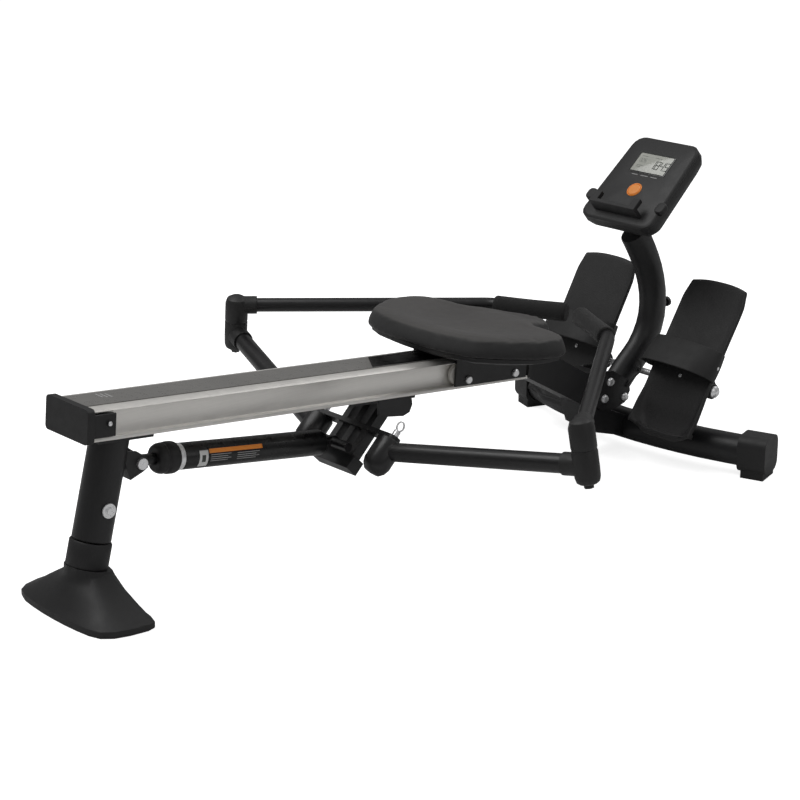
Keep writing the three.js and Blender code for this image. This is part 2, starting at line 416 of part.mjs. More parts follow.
// ---------------------------------------------------------------- foot plates
{
  const outer = [[1291, 317], [1284, 311], [1180.5, 148], [1163, 109], [1153, 82], [1147, 69], [1140, 62], [1132, 63], [1129, 70], [1121, 69], [1122, 58], [1130, 51], [1140, 50], [1150, 57], [1160, 77], [1173, 104], [1189, 143], [1292, 306]];
  const plate = sideplate(outer.slice().reverse(), PEDAL_X0, PEDAL_X1);
  const cheek = (x0, x1) => sideplate([[1121, 60], [1130, 51], [1140, 50], [1150, 57], [1160, 77], [1173, 104], [1181, 122], [1172, 132], [1152, 112], [1134, 86], [1121, 74]], x0, x1);
  const hub = rod(14, [PEDAL_X0, AXLE[1], AXLE[2]], [PEDAL_X1, AXLE[1], AXLE[2]], 18);
  const neck = sideplate([[1180, 135], [1196, 130], [1206, 150], [1192, 160]], PEDAL_X0, PEDAL_X1);
  const hole = rod(6.5, [PEDAL_X0 - 5, AXLE[1], AXLE[2]], [PEDAL_X1 + 5, AXLE[1], AXLE[2]], 14);
  const d = unit([0, 96.5, 152]);               // up the plate
  const n = [0, -d[2], d[1]];                   // towards the rower
  const frameOf = new THREE.Matrix4().makeBasis(V([1, 0, 0]), V(d), V(unit([0, d[2], -d[1]]).map((v) => -v)));
  const pw = (PEDAL_X1 - PEDAL_X0) / 2;
  const front = poly([[-pw, -400], [pw, -400], [pw, 165], [pw - 2, 175], [pw - 8, 182.5], [pw - 17, 187], [pw - 34, 190.5], [0, 192.5], [34 - pw, 190.5], [17 - pw, 187], [8 - pw, 182.5], [2 - pw, 175], [-pw, 165]]);
  const trim = new THREE.ExtrudeGeometry(front, { depth: 400, bevelEnabled: false })
    .translate(0, 0, -200).applyMatrix4(frameOf).translate((PEDAL_X0 + PEDAL_X1) / 2, 1180.5, 148);
  const ped = meet(trim, union(plate, cheek(PEDAL_X0, PEDAL_X0 + 6), cheek(PEDAL_X1 - 6, PEDAL_X1), hub, neck), hole);
  add("foot_plate_R", ped, "plastic");
  const swung = (g) => g.translate(0, -AXLE[1], -AXLE[2]).applyMatrix4(new THREE.Matrix4().makeRotationX(SWING_L * Math.PI / 180)).translate(0, AXLE[1], AXLE[2]);
  add("foot_plate_L", swung(mirrored(ped)), "plastic");
  // strap: arch across the plate, in the plate's own directions
  const cx = (PEDAL_X0 + PEDAL_X1) / 2, hw = (PEDAL_X1 - PEDAL_X0) / 2;
  const arch = (h, side, b) => { // outline of the band, legs against the plate's sides
    const r = [[hw + 4.6, -6.5], [hw + side - 2, 3], [hw + side, b * 0.26], [hw + side - 4, b * 0.52], [hw - 10, h - 9], [hw - 32, h - 2.2], [0, h]];
    const q = [[hw + 0.6, -6.5], [hw + side - 5.5, 3.5], [hw + side - 4, b * 0.27], [hw + side - 8, b * 0.47], [hw - 12.5, h - 12.8], [hw - 33, h - 6.2], [0, h - 4]];
    const all = (a) => a.map(([x, y]) => [-x, y]).concat(a.slice(0, -1).reverse());
    return all(r).concat(all(q).reverse()).reverse();
  };
  const top = arch(40, 9, 38), low = arch(58, 12, 62), D = 54;
  const g = new THREE.ExtrudeGeometry(poly(top), { depth: D, bevelEnabled: false });
  const gp = g.attributes.position;
  for (let i = 0; i < gp.count; i++) if (gp.getZ(i) > D / 2) {
    const k = top.findIndex((t) => Math.hypot(t[0] - gp.getX(i), t[1] - gp.getY(i)) < 1e-3);
    gp.setXY(i, low[k][0], low[k][1]);
  }
  g.applyMatrix4(new THREE.Matrix4().makeBasis(V([1, 0, 0]), V(n), V(unit([0, -d[1], -d[2]]))));
  const base = plus([cx, 1180.5, 148], d, 68);
  g.translate(...base);
  add("foot_strap_R", g, "rubber");
  add("foot_strap_L", swung(mirrored(g)), "rubber");
  const e = PEDAL_X1 + 8;
  add("pedal_axle", union(rod(6, [-e, AXLE[1], AXLE[2]], [e, AXLE[1], AXLE[2]], 14), turned([[0, 0], [11, 0], [11, 3], [7, 7], [0, 8]], [PEDAL_X1 + 1, AXLE[1], AXLE[2]], [1, 0, 0], 14), turned([[0, 0], [11, 0], [11, 3], [7, 7], [0, 8]], [-PEDAL_X1 - 1, AXLE[1], AXLE[2]], [-1, 0, 0], 14)), "chrome");
}

// ---------------------------------------------------------------- saddle and carriage, on the rail
const U0 = SEAT_U - 68.5, U1 = SEAT_U + 70; // roller axles
const B0 = U0 + 16.5, B1 = U1 - 13, BV = -9;   // their bolts through the carriage sides
{
  const prof = [[-54.5, -19], [-54.5, 30.5], [-53.5, 31.5], [53.5, 31.5], [54.5, 30.5], [54.5, -19], [51, -19], [51, 27.6], [-51, 27.6], [-51, -19]].reverse();
  const holes = [B0, B1].map((u) => rod(4.3, [-70, u, BV], [70, u, BV], 14));
  add("seat_carriage", cut(profile(prof, SEAT_U - 80, SEAT_U + 84), ...holes), "black", rail);
  const roller = (sx, u) => turned([[4.3, 0], [ROLLER_R - 1.5, 0], [ROLLER_R, 1.5], [ROLLER_R, 7.1], [ROLLER_R - 1.5, 8.6], [4.3, 8.6], [4.3, 0]], [sx > 0 ? 39.6 : -48.2, u, 0], [1, 0, 0], 24);
  const bolt = (sx, u, b) => { // stud through the roller, link plate, and a bolt through the carriage side
    const d = Math.hypot(b - u, BV), e = [0, (b - u) / d, BV / d];
    const link = new THREE.BoxGeometry(2, d, 12).applyMatrix4(new THREE.Matrix4().makeRotationX(Math.atan2(e[2], e[1]))).translate(49.6, (u + b) / 2, BV / 2);
    const g = union(rod(4, [40.6, u, 0], [50.4, u, 0], 12), rod(6, [48.6, u, 0], [50.6, u, 0], 12), rod(6, [48.6, b, BV], [50.6, b, BV], 12), link,
      rod(4, [49, b, BV], [55.5, b, BV], 12), turned([[0, 0], [6.8, 0], [6.8, 3], [5.5, 4.5], [0, 4.5]], [54.8, b, BV], [1, 0, 0], 12));
    return sx > 0 ? g : mirrored(g);
  };
  [["rear_R", 1, U0, B0], ["front_R", 1, U1, B1], ["rear_L", -1, U0, B0], ["front_L", -1, U1, B1]].forEach(([n, sx, u, b]) => {
    add("roller_" + n, roller(sx, u), "roller", rail);
    add("roller_bolt_" + n, bolt(sx, u, b), "chrome", rail);
  });
  const half = [[0, -137], [45, -135], [90, -127], [129, -110], [151, -83], [168, -55], [181, -25], [184, 5], [178, 32], [158, 48], [122, 57], [88, 61], [66, 71], [54, 92], [44, 120], [26, 140], [0, 147]];
  const plan = (k, v, t = 0) => half.concat(half.slice(1, -1).reverse().map((p) => [-p[0], p[1]])).map((p) => [p[0] * k, SEAT_U + (p[1] - 5) * k + 5, v - t * Math.max(0, (p[1] - 50) / 97)]);
  add("seat_pan", loft([plan(0.66, 31.8), plan(0.88, 36), plan(1.0, 43), plan(1.01, 50)]), "plastic", rail);
  add("seat_pad", loft([plan(1.02, 50.3), plan(1.03, 55), plan(1.015, 68, 6), plan(0.99, 79, 10), plan(0.93, 84, 12)]), "seat", rail);
}

export default root;
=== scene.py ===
# Looks of the rowing machine. Metres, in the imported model's own frame.
import math
import bpy
import bmesh
from mathutils import Matrix, Vector, Euler


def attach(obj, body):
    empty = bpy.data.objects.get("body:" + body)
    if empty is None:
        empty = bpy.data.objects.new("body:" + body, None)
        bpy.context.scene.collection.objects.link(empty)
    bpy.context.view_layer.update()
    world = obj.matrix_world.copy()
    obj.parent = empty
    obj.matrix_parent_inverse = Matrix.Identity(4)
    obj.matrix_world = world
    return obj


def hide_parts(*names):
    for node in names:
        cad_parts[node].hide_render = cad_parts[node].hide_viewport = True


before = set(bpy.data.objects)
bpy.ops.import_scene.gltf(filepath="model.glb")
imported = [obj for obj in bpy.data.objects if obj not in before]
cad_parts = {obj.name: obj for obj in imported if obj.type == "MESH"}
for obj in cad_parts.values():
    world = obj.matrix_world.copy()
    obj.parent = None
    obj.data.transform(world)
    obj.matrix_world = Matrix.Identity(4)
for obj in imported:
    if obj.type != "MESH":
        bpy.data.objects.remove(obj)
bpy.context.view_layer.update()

scene = bpy.context.scene
MM = 0.001

# ------------------------------------------------------------------ camera and light
PITCH, YAW = math.radians(17.74), math.radians(48.84)
fw = Vector((-math.sin(YAW) * math.cos(PITCH), math.cos(YAW) * math.cos(PITCH), -math.sin(PITCH)))
right = Vector((math.cos(YAW), math.sin(YAW), 0))
up = right.cross(fw)
cam = bpy.data.cameras.new("camera")
cam.lens, cam.sensor_width, cam.sensor_fit = 95.68, 36, "HORIZONTAL"
cam.clip_start, cam.clip_end = 0.05, 200
cam_ob = bpy.data.objects.new("camera", cam)
m = Matrix((right, up, -fw)).transposed().to_4x4()
m.translation = Vector((2.5249, -1.5741, 1.2704))
cam_ob.matrix_world = m
scene.collection.objects.link(cam_ob)
scene.camera = cam_ob

scene.view_settings.view_transform = "Standard"
scene.view_settings.look = "None"
scene.view_settings.exposure = 0
scene.view_settings.gamma = 1

world = bpy.data.worlds.new("studio")
scene.world = world
world.use_nodes = True
wn, wl = world.node_tree.nodes, world.node_tree.links
wn.clear()
w_out, w_bg = wn.new("ShaderNodeOutputWorld"), wn.new("ShaderNodeBackground")
w_tc, w_sep, w_ramp = wn.new("ShaderNodeTexCoord"), wn.new("ShaderNodeSeparateXYZ"), wn.new("ShaderNodeValToRGB")
wl.new(w_tc.outputs["Generated"], w_sep.inputs[0])
wl.new(w_sep.outputs["Z"], w_ramp.inputs[0])
w_ramp.color_ramp.elements[0].position, w_ramp.color_ramp.elements[0].color = 0.0, (0.42, 0.42, 0.42, 1)
w_ramp.color_ramp.elements[1].position, w_ramp.color_ramp.elements[1].color = 0.75, (1, 1, 1, 1)
wl.new(w_ramp.outputs[0], w_bg.inputs[0])
w_bg.inputs[1].default_value = 0.34
wl.new(w_bg.outputs[0], w_out.inputs[0])


def area(name, loc, target, size, power, size_y=None):
    d = bpy.data.lights.new(name, "AREA")
    d.energy, d.size = power, size
    if size_y:
        d.shape, d.size_y = "RECTANGLE", size_y
    o = bpy.data.objects.new(name, d)
    o.location = loc
    o.rotation_euler = (Vector(target) - Vector(loc)).to_track_quat("-Z", "Y").to_euler()
    scene.collection.objects.link(o)
    return o


area("key", (-0.9, -0.4, 3.0), (0, 0.65, 0.2), 2.4, 46)
area("top_back", (0.5, 3.2, 2.6), (0, 0.8, 0.2), 2.0, 26)
area("side_fill", (3.2, 0.6, 1.6), (0, 0.7, 0.2), 1.6, 5)

# ------------------------------------------------------------------ frame directions
SLOPE = math.radians(5.29)
RAIL = Matrix.Translation((0, 0, 0.302)) @ Matrix.Rotation(-SLOPE, 4, "X")
TILT = Matrix.Translation((0, 1.201, 0.486)) @ Matrix.Rotation(math.radians(41), 4, "X")
CYL_A, CYL_B = Vector((0, 0.106, 0.213)), Vector((0, 0.486, 0.159))
CYL_D = (CYL_B - CYL_A).normalized()
CYL_U = Vector((1, 0, 0)).cross(CYL_D)
CYL_U = CYL_U if CYL_U.z > 0 else -CYL_U


def rail_pt(x, u, v):
    return RAIL @ Vector((x * MM, u * MM, v * MM))


def con_pt(x, y, z):
    return TILT @ Vector((x * MM, y * MM, z * MM))


# ------------------------------------------------------------------ sensor lead: the only cord
ROUTE = [(24.6, 1186, 166), (31, 1186, 158), (35, 1180, 146), (34.5, 1168, 138), (32, 1156, 128), (31.5, 1150, 121)]


def catmull(points, per, closed=False, tension=0.5):
    n, out = len(points), []
    P = [Vector(p) for p in points]
    for i in range(n if closed else n - 1):
        if closed:
            a, b, c, d = P[(i - 1) % n], P[i], P[(i + 1) % n], P[(i + 2) % n]
        else:
            b, c = P[i], P[i + 1]
            a = P[i - 1] if i else b * 2 - c
            d = P[i + 2] if i + 2 < n else c * 2 - b
        for k in range(per):
            t = k / per
            m0, m1 = (c - a) * tension, (d - b) * tension
            out.append(b * (2 * t**3 - 3 * t**2 + 1) + m0 * (t**3 - 2 * t**2 + t) + c * (3 * t**2 - 2 * t**3) + m1 * (t**3 - t**2))
    if not closed:
        out.append(P[-1])
    return out


def curve_ob(name, pts, radius, resolution=6):
    c = bpy.data.curves.new(name, "CURVE")
    c.dimensions, c.bevel_depth, c.bevel_resolution, c.use_fill_caps = "3D", 1.0, resolution, True
    s = c.splines.new("POLY")
    s.points.add(len(pts) - 1)
    for q, p in zip(s.points, pts):
        q.co, q.radius = (*p, 1), radius
    s.use_smooth = True
    o = bpy.data.objects.new(name, c)
    scene.collection.objects.link(o)
    return o


lead_pts = [p * MM for p in catmull(ROUTE, 5)]
lead = curve_ob("sensor_lead", lead_pts, 0.0017)
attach(lead, "frame")
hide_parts("sensor_cable")


# ------------------------------------------------------------------ materials
def nodes_of(name):
    mt = bpy.data.materials.new(name)
    mt.use_nodes = True
    t = mt.node_tree
    t.nodes.clear()
    out = t.nodes.new("ShaderNodeOutputMaterial")
    b = t.nodes.new("ShaderNodeBsdfPrincipled")
    t.links.new(b.outputs[0], out.inputs[0])
    return mt, t, b


def noise(t, vec, scale, detail=3.0, rough=0.55):
    n = t.nodes.new("ShaderNodeTexNoise")
    n.inputs["Scale"].default_value = scale
    n.inputs["Detail"].default_value = detail
    n.inputs["Roughness"].default_value = rough
    t.links.new(vec, n.inputs["Vector"])
    return n.outputs["Fac"]


def ramp_to(t, fac, lo, hi, a=0.3, b=0.7):
    r = t.nodes.new("ShaderNodeMapRange")
    r.inputs["From Min"].default_value, r.inputs["From Max"].default_value = a, b
    r.inputs["To Min"].default_value, r.inputs["To Max"].default_value = lo, hi
    t.links.new(fac, r.inputs["Value"])
    return r.outputs[0]


def mix_colour(t, fac, c0, c1):
    x = t.nodes.new("ShaderNodeMix")
    x.data_type = "RGBA"
    for s, c in ((x.inputs[6], c0), (x.inputs[7], c1)):
        if isinstance(c, (tuple, list)):
            s.default_value = (*c, 1) if len(c) == 3 else c
        else:
            t.links.new(c, s)
    if isinstance(fac, (int, float)):
        x.inputs[0].default_value = fac
    else:
        t.links.new(fac, x.inputs[0])
    return x.outputs[2]


def maths(t, op, a, b=None):
    x = t.nodes.new("ShaderNodeMath")
    x.operation = op
    for s, v in zip(x.inputs, (a, b)):
        if v is None:
            continue
        if isinstance(v, (int, float)):
            s.default_value = v
        else:
            t.links.new(v, s)
    return x.outputs[0]


def surface(name, colour, rough, metal=0.0, grain=700.0, bump=0.12, dist=0.0004, var=0.18, rvar=0.08, spot=9.0,
            wear=0.0, wear_colour=None, coat=0.0, spec=0.5, stretch=None, round_edge=0.0, sheen=0.0, dots=None):
    """One procedural finish: slow colour drift, fine grain in bump and roughness, and worn edges."""
    mt, t, b = nodes_of(name)
    tc = t.nodes.new("ShaderNodeTexCoord")
    vec = tc.outputs["Object"]
    if stretch:
        mp = t.nodes.new("ShaderNodeMapping")
        mp.inputs["Rotation"].default_value = (SLOPE, 0, 0)
        mp.inputs["Scale"].default_value = stretch
        t.links.new(vec, mp.inputs["Vector"])
        gvec = mp.outputs[0]
    else:
        gvec = vec
    fine = noise(t, gvec, grain, 4.0, 0.6)
    slow = noise(t, vec, spot, 4.0, 0.6)
    mid = noise(t, vec, spot * 7, 3.0, 0.6)
    both = maths(t, "ADD", maths(t, "MULTIPLY", slow, 0.6), maths(t, "MULTIPLY", mid, 0.4))
    if stretch:
        both = maths(t, "ADD", maths(t, "MULTIPLY", both, 0.5), maths(t, "MULTIPLY", fine, 0.5))
    lo = tuple(c * (1 - var) for c in colour)
    hi = tuple(min(1, c * (1 + var)) for c in colour)
    col = mix_colour(t, ramp_to(t, both, 0, 1), lo, hi)
    rr = ramp_to(t, maths(t, "ADD", maths(t, "MULTIPLY", fine, 0.4), maths(t, "MULTIPLY", mid, 0.6)), max(0.03, rough - rvar), min(1, rough + rvar))
    normal = None
    if round_edge:
        bv = t.nodes.new("ShaderNodeBevel")
        bv.samples = 4
        bv.inputs["Radius"].default_value = round_edge
        normal = bv.outputs[0]
        if wear:
            g = t.nodes.new("ShaderNodeNewGeometry")
            d = t.nodes.new("ShaderNodeVectorMath")
            d.operation = "DOT_PRODUCT"
            t.links.new(normal, d.inputs[0])
            t.links.new(g.outputs["Normal"], d.inputs[1])
            edge = ramp_to(t, d.outputs["Value"], 1, 0, 0.86, 0.995)
            patchy = ramp_to(t, noise(t, vec, 120, 5, 0.7), 0, 1, 0.42, 0.62)
            edge = maths(t, "MULTIPLY", maths(t, "MULTIPLY", edge, patchy), wear)
            col = mix_colour(t, edge, col, wear_colour or tuple(min(1, c * 3 + 0.02) for c in colour))
    height = fine
    if dots:
        v = t.nodes.new("ShaderNodeTexVoronoi")
        v.inputs["Scale"].default_value = dots
        t.links.new(vec, v.inputs["Vector"])
        height = maths(t, "ADD", maths(t, "MULTIPLY", fine, 0.4), maths(t, "MULTIPLY", ramp_to(t, v.outputs["Distance"], 1, 0, 0.1, 0.5), 0.8))
    bp = t.nodes.new("ShaderNodeBump")
    bp.inputs["Strength"].default_value = bump
    bp.inputs["Distance"].default_value = dist
    t.links.new(height, bp.inputs["Height"])
    if normal is not None:
        t.links.new(normal, bp.inputs["Normal"])
    t.links.new(bp.outputs[0], b.inputs["Normal"])
    t.links.new(col, b.inputs["Base Color"])
    t.links.new(rr, b.inputs["Roughness"])
    b.inputs["Metallic"].default_value = metal
    b.inputs["Specular IOR Level"].default_value = spec
    b.inputs["Coat Weight"].default_value = coat
    b.inputs["Coat Roughness"].default_value = 0.15
    b.inputs["Sheen Weight"].default_value = sheen
    b.inputs["Sheen Roughness"].default_value = 0.4
    return mt


M = {
    "powder": surface("powder_black", (0.0090, 0.0090, 0.0097), 0.42, grain=1500, bump=0.22, dist=0.0003, wear=0.35, round_edge=0.0010, wear_colour=(0.06, 0.06, 0.062)),
    "tube": surface("tube_black", (0.0094, 0.0090, 0.0097), 0.33, grain=1700, bump=0.10, dist=0.0002, wear=0.3, round_edge=0.0010, wear_colour=(0.06, 0.06, 0.06)),
    "cylinder": surface("cylinder_black", (0.0054, 0.0054, 0.0058), 0.30, grain=1500, bump=0.06, dist=0.0002, wear=0.3, round_edge=0.0008, wear_colour=(0.05, 0.05, 0.05)),
    "plastic": surface("moulded_black", (0.0104, 0.0102, 0.0108), 0.55, grain=1300, bump=0.30, dist=0.0004, wear=0.35, round_edge=0.0014, wear_colour=(0.05, 0.05, 0.05)),
    "elbow": surface("moulded_elbow", (0.0126, 0.0124, 0.0126), 0.52, grain=1100, bump=0.30, dist=0.0004, wear=0.3, round_edge=0.0014, wear_colour=(0.05, 0.05, 0.05)),
    "plate": surface("pedal_plastic", (0.0148, 0.0144, 0.0148), 0.60, grain=900, bump=0.35, dist=0.0006, wear=0.4, round_edge=0.0012, wear_colour=(0.06, 0.06, 0.06), dots=420),
    "rubber": surface("rubber_black", (0.0108, 0.0107, 0.0108), 0.66, grain=900, bump=0.25, dist=0.0004, var=0.22),
    "foam": surface("grip_foam", (0.0166, 0.0162, 0.0162), 0.92, grain=1500, bump=0.75, dist=0.0009, var=0.28, sheen=0.12, dots=1100),
    "face": surface("console_satin", (0.0150, 0.0148, 0.0152), 0.48, grain=1600, bump=0.14, dist=0.0002, round_edge=0.0015, wear=0.15, wear_colour=(0.09, 0.09, 0.09)),
    "alu": surface("brushed_aluminium", (0.84, 0.82, 0.785), 0.36, metal=0.62, grain=1.0, stretch=(900, 14, 900), bump=0.10, dist=0.0002, var=0.07, rvar=0.07, round_edge=0.0008, wear=0.3, wear_colour=(0.74, 0.73, 0.70)),
    "strip": surface("strip_film", (0.165, 0.160, 0.152), 0.30, grain=900, bump=0.05, dist=0.0002, var=0.10, coat=0.25),
    "gloss": surface("gloss_black", (0.008, 0.008, 0.008), 0.10, grain=700, bump=0.03, dist=0.0001, var=0.2, rvar=0.04, coat=0.6),
    "chrome": surface("zinc_bright", (0.90, 0.90, 0.91), 0.30, metal=0.72, grain=900, bump=0.06, dist=0.0002, var=0.08, rvar=0.08, round_edge=0.0006),
    "nylon": surface("nylon_white", (0.62, 0.60, 0.56), 0.48, grain=900, bump=0.10, dist=0.0003, var=0.06),
    "orange": surface("button_orange", (0.90, 0.31, 0.052), 0.34, grain=900, bump=0.08, dist=0.0002, var=0.06, coat=0.3),
    "label": surface("label_silver", (0.80, 0.80, 0.79), 0.35, metal=0.2, grain=900, bump=0.05, dist=0.0002, var=0.08),
    "label_orange": surface("label_orange", (0.98, 0.30, 0.040), 0.40, grain=900, bump=0.05, dist=0.0002, var=0.07),
    "print": surface("pale_print", (0.42, 0.42, 0.42), 0.5, grain=900, bump=0.05, dist=0.0002, var=0.1),
    "dark_print": surface("digit_dark", (0.055, 0.062, 0.055), 0.5, grain=900, bump=0.04, dist=0.0001, var=0.1),
}


def seat_material():
    mt, t, b = nodes_of("saddle_skin")
    tc = t.nodes.new("ShaderNodeTexCoord")
    vec = tc.outputs["Object"]
    v = t.nodes.new("ShaderNodeTexVoronoi")
    v.feature = "DISTANCE_TO_EDGE"
    v.inputs["Scale"].default_value = 520
    t.links.new(vec, v.inputs["Vector"])
    leather = ramp_to(t, v.outputs["Distance"], 0, 1, 0.0, 0.16)
    fine = noise(t, vec, 1400, 4, 0.6)
    slow = noise(t, vec, 7, 4, 0.6)
    mid = noise(t, vec, 55, 3, 0.6)
    col = mix_colour(t, ramp_to(t, slow, 0, 1), (0.0430, 0.0405, 0.0390), (0.0600, 0.0565, 0.0540))
    col = mix_colour(t, maths(t, "MULTIPLY", ramp_to(t, leather, 1, 0, 0, 1), 0.35), col, (0.016, 0.0155, 0.015))
    # Painted shade: as the normal turns from up to sideways the colour goes to a darker grey, so the saddle's sides
    # read darker than its top.
    g = t.nodes.new("ShaderNodeNewGeometry")
    sp = t.nodes.new("ShaderNodeSeparateXYZ")
    t.links.new(g.outputs["Normal"], sp.inputs[0])
    col = mix_colour(t, ramp_to(t, sp.outputs["Z"], 1, 0, 0.50, 0.86), col, (0.0145, 0.0142, 0.0145))
    t.links.new(col, b.inputs["Base Color"])
    t.links.new(ramp_to(t, maths(t, "ADD", maths(t, "MULTIPLY", mid, 0.5), maths(t, "MULTIPLY", fine, 0.5)), 0.56, 0.74), b.inputs["Roughness"])
    b1 = t.nodes.new("ShaderNodeBump")
    b1.inputs["Strength"].default_value, b1.inputs["Distance"].default_value = 0.22, 0.0004
    t.links.new(maths(t, "ADD", maths(t, "MULTIPLY", leather, 0.7), maths(t, "MULTIPLY", fine, 0.3)), b1.inputs["Height"])
    t.links.new(b1.outputs[0], b.inputs["Normal"])
    b.inputs["Sheen Weight"].default_value = 0.10
    b.inputs["Sheen Roughness"].default_value = 0.45
    return mt


M["seat"] = seat_material()
lead.data.materials.append(M["rubber"])


def lcd_material():
    mt, t, b = nodes_of("lcd_glass")
    tc = t.nodes.new("ShaderNodeTexCoord")
    vec = tc.outputs["Object"]
    w = t.nodes.new("ShaderNodeTexWave")
    w.inputs["Scale"].default_value = 260
    w.inputs["Distortion"].default_value = 0
    t.links.new(vec, w.inputs["Vector"])
    slow = noise(t, vec, 22, 2, 0.5)
    col = mix_colour(t, ramp_to(t, slow, 0, 1), (0.40, 0.41, 0.37), (0.47, 0.475, 0.43))
    col = mix_colour(t, maths(t, "MULTIPLY", w.outputs["Fac"], 0.05), col, (0.25, 0.27, 0.24))
    t.links.new(col, b.inputs["Base Color"])
    t.links.new(ramp_to(t, noise(t, vec, 90, 3, 0.6), 0.12, 0.2), b.inputs["Roughness"])
    b.inputs["Coat Weight"].default_value = 0.4
    b.inputs["Coat Roughness"].default_value = 0.06
    return mt


M["lcd"] = lcd_material()

# ------------------------------------------------------------------ CAD nodes: finish and clean shading
FINISH = {}


def give(key, *names):
    for n in names:
        FINISH[n] = key


give("alu", "rail")
give("strip", "rail_strip")
give("plastic", "rail_end_cap", "end_stop_R", "end_stop_L", "rear_foot", "leg_sleeve", "console_back", "phone_tray", "mast_knob",
     "damper_adjuster", "stabiliser_cap_R", "stabiliser_cap_L", "seat_pan", "foot_plate_R", "foot_plate_L")
give("powder", "rear_leg", "damper_lug", "oar_bracket", "front_beam", "front_bracket_R", "front_bracket_L", "stabiliser_tube", "mast", "seat_carriage")
give("tube", "damper_rod", "oar_arm_R", "oar_arm_L", "oar_forearm_R", "oar_forearm_L")
give("cylinder", "damper_body")
give("elbow", "elbow_base_R", "elbow_base_L", "elbow_head_R", "elbow_head_L")
give("chrome", "leg_bolt", "damper_pin", "front_bolt_upper", "front_bolt_lower", "mast_bolt", "pivot_plunger_R", "pivot_plunger_L",
     "pedal_axle", "roller_bolt_rear_R", "roller_bolt_rear_L", "roller_bolt_front_R", "roller_bolt_front_L")
give("nylon", "roller_rear_R", "roller_rear_L", "roller_front_R", "roller_front_L")
give("face", "console_face")
give("lcd", "console_display")
give("orange", "console_button")
give("rubber", "foot_strap_R", "foot_strap_L", "sensor_cable")
give("foam", "oar_grip_R", "oar_grip_L")
give("seat", "seat_pad")


def shade(o, split=38.0):
    me = o.data
    me.polygons.foreach_set("use_smooth", [True] * len(me.polygons))
    for a in ("sharp_edge", "custom_normal"):
        if a in me.attributes:
            me.attributes.remove(me.attributes[a])
    wd = o.modifiers.new("weld", "WELD")
    wd.merge_threshold = 2e-5
    es = o.modifiers.new("split", "EDGE_SPLIT")
    es.split_angle = math.radians(split)
    es.use_edge_sharp = False


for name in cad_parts:
    o = bpy.data.objects[name]
    for s in o.material_slots:
        s.material = M[FINISH[name]]
    if not o.material_slots:
        o.data.materials.append(M[FINISH[name]])
    shade(o)


# ------------------------------------------------------------------ mesh helpers
def make(name, verts, faces, mat, body, smooth=True, matrix=None):
    me = bpy.data.meshes.new(name)
    vs = [Vector(v) for v in verts]
    if matrix is not None:
        vs = [matrix @ v for v in vs]
    me.from_pydata([tuple(v) for v in vs], [], faces)
    me.validate()
    me.update()
    bm = bmesh.new()
    bm.from_mesh(me)
    bmesh.ops.recalc_face_normals(bm, faces=bm.faces)
    bm.to_mesh(me)
    bm.free()
    me.polygons.foreach_set("use_smooth", [smooth] * len(me.polygons))
    me.materials.append(M[mat])
    o = bpy.data.objects.new(name, me)
    scene.collection.objects.link(o)
    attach(o, body)
    return o


def bevel(o, width, segments=3, angle=35):
    b = o.modifiers.new("bevel", "BEVEL")
    b.width, b.segments, b.limit_method, b.angle_limit = width, segments, "ANGLE", math.radians(angle)
    return o


def subsurf(o, levels):
    s = o.modifiers.new("subsurf", "SUBSURF")
    s.levels = s.render_levels = levels
    return o


def split(o, angle=38):
    e = o.modifiers.new("split", "EDGE_SPLIT")
    e.split_angle = math.radians(angle)
    e.use_edge_sharp = False
    return o


def lathe(name, prof, origin, axis, mat, body, seg=48, closed=True):
    """Turned piece: prof is [(radius, along)], in metres; a radius of 0 closes the end."""
    ax = Vector(axis).normalized()
    q = Vector((0, 0, 1)).rotation_difference(ax).to_matrix()
    o0 = Vector(origin)
    verts, rows, faces = [], [], []
    for r, h in prof:
        if r < 1e-7:
            rows.append([len(verts)])
            verts.append(o0 + ax * h)
        else:
            rows.append(list(range(len(verts), len(verts) + seg)))
            for k in range(seg):
                a = 2 * math.pi * k / seg
                verts.append(o0 + q @ Vector((r * math.cos(a), r * math.sin(a), 0)) + ax * h)
    pairs = list(zip(rows, rows[1:])) + ([(rows[-1], rows[0])] if closed and prof[0][0] > 1e-7 and prof[-1][0] > 1e-7 else [])
    for a, b in pairs:
        for k in range(seg):
            j = (k + 1) % seg
            if len(a) == 1 and len(b) == 1:
                continue
            if len(a) == 1:
                faces.append((a[0], b[k], b[j]))
            elif len(b) == 1:
                faces.append((a[k], b[0], a[j]))
            else:
                faces.append((a[k], b[k], b[j], a[j]))
    return split(make(name, verts, faces, mat, body), 32)


def grid_sheet(name, rows, mat, body, thick, matrix=None):
    """A sheet through rows of points, made solid."""
    n = len(rows[0])
    verts = [p for r in rows for p in r]
    faces = [(i * n + k, i * n + k + 1, (i + 1) * n + k + 1, (i + 1) * n + k) for i in range(len(rows) - 1) for k in range(n - 1)]
    o = make(name, verts, faces, mat, body, matrix=matrix)
    s = o.modifiers.new("thick", "SOLIDIFY")
    s.thickness, s.offset = thick, 1
    return o


def prism(name, outline, z0, z1, mat, body, matrix, width=0.0006, segments=3):
    """An outline in the plane of matrix, thick from z0 to z1, with rounded edges. Millimetres."""
    n = len(outline)
    verts = [(x * MM, y * MM, z0 * MM) for x, y in outline] + [(x * MM, y * MM, z1 * MM) for x, y in outline]
    faces = [tuple(range(n - 1, -1, -1)), tuple(range(n, 2 * n))] + [(k, (k + 1) % n, n + (k + 1) % n, n + k) for k in range(n)]
    o = make(name, verts, faces, mat, body, smooth=True, matrix=matrix)
    bevel(o, width, segments, 40)
    return split(o, 40)


